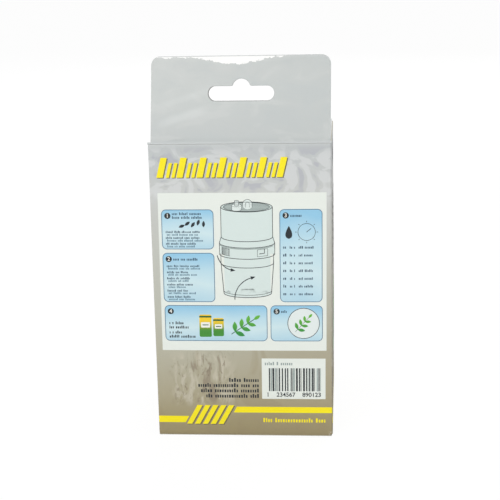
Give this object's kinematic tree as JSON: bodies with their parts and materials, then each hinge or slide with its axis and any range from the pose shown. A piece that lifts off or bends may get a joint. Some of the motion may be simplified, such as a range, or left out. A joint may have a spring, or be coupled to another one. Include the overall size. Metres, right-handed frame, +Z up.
{
  "type": "folding carton with insect feeder",
  "caption": "Upright folding carton with a hang tab and tuck lids, holding a round two-part feeder cup with a slotted lid and stopper.",
  "frame": {"origin": "middle of the carton's footprint, on the surface that it stands on", "axes": "+Z up; the pictured printed back and the outer ply of the hang tab face -Y; the front faces +Y"},
  "size_m": [0.09, 0.088, 0.1945],
  "materials": {
    "printed_board": "semi-gloss printed coating",
    "plain_board": "uncoated, slightly fibrous",
    "clear_plastic": "clear, slightly tinted",
    "frame_plastic": "fine matt moulding texture",
    "soft_plastic": "soft matt"
  },
  "bodies": {
    "carton": {"front_panel": "printed_board", "left_side_panel": "printed_board", "right_side_panel": "printed_board", "back_panel": "plain_board", "outer_back_panel": "printed_board"},
    "hang_tab": {"hang_tab_outer_ply": "printed_board", "hang_tab_inner_ply": "plain_board"},
    "top_lid": {"top_lid": "printed_board"},
    "top_tuck": {"top_tuck": "plain_board"},
    "top_left_flap": {"top_dust_flap_left": "plain_board"},
    "top_right_flap": {"top_dust_flap_right": "plain_board"},
    "bottom_lid": {"bottom_lid": "printed_board"},
    "bottom_tuck": {"bottom_tuck": "plain_board"},
    "bottom_left_flap": {"bottom_dust_flap_left": "plain_board"},
    "bottom_right_flap": {"bottom_dust_flap_right": "plain_board"},
    "feeder_base": {"lower_cup": "clear_plastic"},
    "feeder_head": {"bayonet_ring": "frame_plastic", "upper_cup": "clear_plastic", "slotted_lid": "frame_plastic", "hanger_eye": "frame_plastic", "tether_strap": "soft_plastic"},
    "stopper": {"stopper": "frame_plastic"}
  },
  "joints": [
    {"name": "top_lid_hinge", "type": "hinge", "parent": "carton", "child": "top_lid", "pos_m": [0, 0.04378, 0.15177], "axis": [-1, 0, 0], "range_deg": [0, 120]},
    {"name": "top_tuck_crease", "type": "hinge", "parent": "top_lid", "child": "top_tuck", "pos_m": [0, -0.04233, 0.15177], "axis": [-1, 0, 0], "range_deg": [0, 18]},
    {"name": "top_left_flap_crease", "type": "hinge", "parent": "carton", "child": "top_left_flap", "pos_m": [-0.04478, 0, 0.15118], "axis": [0, -1, 0], "range_deg": [0, 102]},
    {"name": "top_right_flap_crease", "type": "hinge", "parent": "carton", "child": "top_right_flap", "pos_m": [0.04478, 0, 0.15118], "axis": [0, 1, 0], "range_deg": [0, 102]},
    {"name": "bottom_lid_hinge", "type": "hinge", "parent": "carton", "child": "bottom_lid", "pos_m": [0, -0.04333, 0.00022], "axis": [-1, 0, 0], "range_deg": [0, 120]},
    {"name": "bottom_tuck_crease", "type": "hinge", "parent": "bottom_lid", "child": "bottom_tuck", "pos_m": [0, 0.04278, 0.00022], "axis": [-1, 0, 0], "range_deg": [0, 18]},
    {"name": "bottom_left_flap_crease", "type": "hinge", "parent": "carton", "child": "bottom_left_flap", "pos_m": [-0.04478, 0, 0.00082], "axis": [0, 1, 0], "range_deg": [0, 102]},
    {"name": "bottom_right_flap_crease", "type": "hinge", "parent": "carton", "child": "bottom_right_flap", "pos_m": [0.04478, 0, 0.00082], "axis": [0, -1, 0], "range_deg": [0, 102]},
    {"name": "hang_tab_crease", "type": "hinge", "parent": "carton", "child": "hang_tab", "pos_m": [0, -0.04355, 0.15255], "axis": [-1, 0, 0], "range_deg": [-25, 84], "stiffness_Nm_per_rad": 0.005},
    {"name": "feeder_lift", "type": "slide", "parent": "carton", "child": "feeder_base", "axis": [0, 0, 1], "range_m": [0, 0.003]},
    {"name": "bayonet_twist", "type": "hinge", "parent": "feeder_base", "child": "feeder_head", "pos_m": [0, 0.00022, 0.06165], "axis": [0, 0, 1], "range_deg": [0, 18]},
    {"name": "stopper_pull", "type": "slide", "parent": "feeder_head", "child": "stopper", "axis": [0, 0, 1], "range_m": [0, 0.0035]}
  ],
  "couplings": [
    {"joint": "top_tuck_crease", "follows": "top_lid_hinge", "ratio": 0.15},
    {"joint": "top_left_flap_crease", "follows": "top_lid_hinge", "ratio": 0.85},
    {"joint": "top_right_flap_crease", "follows": "top_lid_hinge", "ratio": 0.85},
    {"joint": "bottom_tuck_crease", "follows": "bottom_lid_hinge", "ratio": 0.15},
    {"joint": "bottom_left_flap_crease", "follows": "bottom_lid_hinge", "ratio": 0.85},
    {"joint": "bottom_right_flap_crease", "follows": "bottom_lid_hinge", "ratio": 0.85}
  ]
}
